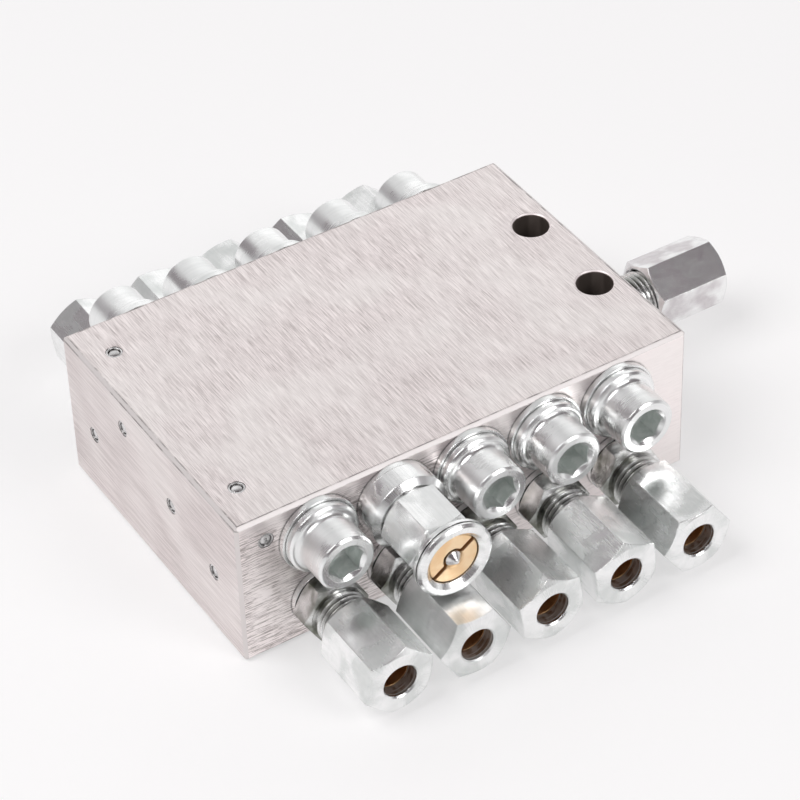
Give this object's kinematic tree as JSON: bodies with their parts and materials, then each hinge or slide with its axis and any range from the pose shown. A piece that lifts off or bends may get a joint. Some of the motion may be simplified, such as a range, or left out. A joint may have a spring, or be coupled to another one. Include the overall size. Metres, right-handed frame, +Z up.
{
  "type": "progressive lubricant divider block",
  "caption": "Drilled steel lubricant divider block with spool pistons, closure plugs, a cycle indicator, check-valve tube fittings along two sides and an inlet fitting at one end.",
  "frame": {"origin": "midway between the two mounting holes, on the underside", "axes": "+Z up through the mounting holes, +X to the inlet end, -Y to the indicator's side"},
  "size_m": [0.1174, 0.1108, 0.03],
  "materials": {
    "ground_steel": "ground and brushed",
    "zinc_plate": "bright zinc plated",
    "bright_steel": "polished",
    "spring_steel": "drawn wire",
    "brass": "turned",
    "bronze": "turned",
    "seal_rubber": "matt"
  },
  "bodies": {
    "housing": {"block": "ground_steel", "near_plugs": "zinc_plate", "far_plugs": "zinc_plate", "plug_washers": "zinc_plate", "fitting_washers": "zinc_plate", "drilling_closers": "bright_steel", "indicator_housing": "zinc_plate", "indicator_gland": "brass", "indicator_seal": "seal_rubber", "inlet_stub": "zinc_plate", "inlet_nut": "zinc_plate", "cutting_rings": "bronze", "valve_seats": "brass", "near_stub_1": "zinc_plate", "near_nut_1": "zinc_plate", "near_spring_1": "spring_steel", "near_stub_2": "zinc_plate", "near_nut_2": "zinc_plate", "near_spring_2": "spring_steel", "near_stub_3": "zinc_plate", "near_nut_3": "zinc_plate", "near_spring_3": "spring_steel", "near_stub_4": "zinc_plate", "near_nut_4": "zinc_plate", "near_spring_4": "spring_steel", "near_stub_5": "zinc_plate", "near_nut_5": "zinc_plate", "near_spring_5": "spring_steel", "far_stub_1": "zinc_plate", "far_nut_1": "zinc_plate", "far_spring_1": "spring_steel", "far_stub_2": "zinc_plate", "far_nut_2": "zinc_plate", "far_spring_2": "spring_steel", "far_stub_3": "zinc_plate", "far_nut_3": "zinc_plate", "far_spring_3": "spring_steel", "far_stub_4": "zinc_plate", "far_nut_4": "zinc_plate", "far_spring_4": "spring_steel", "far_stub_5": "zinc_plate", "far_nut_5": "zinc_plate", "far_spring_5": "spring_steel"},
    "spool_1": {"piston_1": "bright_steel"},
    "spool_2": {"piston_2": "bright_steel", "indicator_pin": "bright_steel"},
    "spool_3": {"piston_3": "bright_steel"},
    "spool_4": {"piston_4": "bright_steel"},
    "spool_5": {"piston_5": "bright_steel"},
    "near_check_1": {"near_ball_1": "bright_steel"},
    "near_check_2": {"near_ball_2": "bright_steel"},
    "near_check_3": {"near_ball_3": "bright_steel"},
    "near_check_4": {"near_ball_4": "bright_steel"},
    "near_check_5": {"near_ball_5": "bright_steel"},
    "far_check_1": {"far_ball_1": "bright_steel"},
    "far_check_2": {"far_ball_2": "bright_steel"},
    "far_check_3": {"far_ball_3": "bright_steel"},
    "far_check_4": {"far_ball_4": "bright_steel"},
    "far_check_5": {"far_ball_5": "bright_steel"}
  },
  "joints": [
    {"name": "piston_1_slide", "type": "slide", "parent": "housing", "child": "spool_1", "axis": [0, -1, 0], "range_m": [0, 0.0068]},
    {"name": "piston_2_slide", "type": "slide", "parent": "housing", "child": "spool_2", "axis": [0, -1, 0], "range_m": [0, 0.0068]},
    {"name": "piston_3_slide", "type": "slide", "parent": "housing", "child": "spool_3", "axis": [0, -1, 0], "range_m": [0, 0.0068]},
    {"name": "piston_4_slide", "type": "slide", "parent": "housing", "child": "spool_4", "axis": [0, -1, 0], "range_m": [0, 0.0068]},
    {"name": "piston_5_slide", "type": "slide", "parent": "housing", "child": "spool_5", "axis": [0, -1, 0], "range_m": [0, 0.0068]},
    {"name": "near_check_1_lift", "type": "slide", "parent": "housing", "child": "near_check_1", "axis": [0, -1, 0], "range_m": [0, 0.001], "stiffness_N_per_m": 150, "deforming": ["near_spring_1"]},
    {"name": "near_check_2_lift", "type": "slide", "parent": "housing", "child": "near_check_2", "axis": [0, -1, 0], "range_m": [0, 0.001], "stiffness_N_per_m": 150, "deforming": ["near_spring_2"]},
    {"name": "near_check_3_lift", "type": "slide", "parent": "housing", "child": "near_check_3", "axis": [0, -1, 0], "range_m": [0, 0.001], "stiffness_N_per_m": 150, "deforming": ["near_spring_3"]},
    {"name": "near_check_4_lift", "type": "slide", "parent": "housing", "child": "near_check_4", "axis": [0, -1, 0], "range_m": [0, 0.001], "stiffness_N_per_m": 150, "deforming": ["near_spring_4"]},
    {"name": "near_check_5_lift", "type": "slide", "parent": "housing", "child": "near_check_5", "axis": [0, -1, 0], "range_m": [0, 0.001], "stiffness_N_per_m": 150, "deforming": ["near_spring_5"]},
    {"name": "far_check_1_lift", "type": "slide", "parent": "housing", "child": "far_check_1", "axis": [0, 1, 0], "range_m": [0, 0.001], "stiffness_N_per_m": 150, "deforming": ["far_spring_1"]},
    {"name": "far_check_2_lift", "type": "slide", "parent": "housing", "child": "far_check_2", "axis": [0, 1, 0], "range_m": [0, 0.001], "stiffness_N_per_m": 150, "deforming": ["far_spring_2"]},
    {"name": "far_check_3_lift", "type": "slide", "parent": "housing", "child": "far_check_3", "axis": [0, 1, 0], "range_m": [0, 0.001], "stiffness_N_per_m": 150, "deforming": ["far_spring_3"]},
    {"name": "far_check_4_lift", "type": "slide", "parent": "housing", "child": "far_check_4", "axis": [0, 1, 0], "range_m": [0, 0.001], "stiffness_N_per_m": 150, "deforming": ["far_spring_4"]},
    {"name": "far_check_5_lift", "type": "slide", "parent": "housing", "child": "far_check_5", "axis": [0, 1, 0], "range_m": [0, 0.001], "stiffness_N_per_m": 150, "deforming": ["far_spring_5"]}
  ]
}
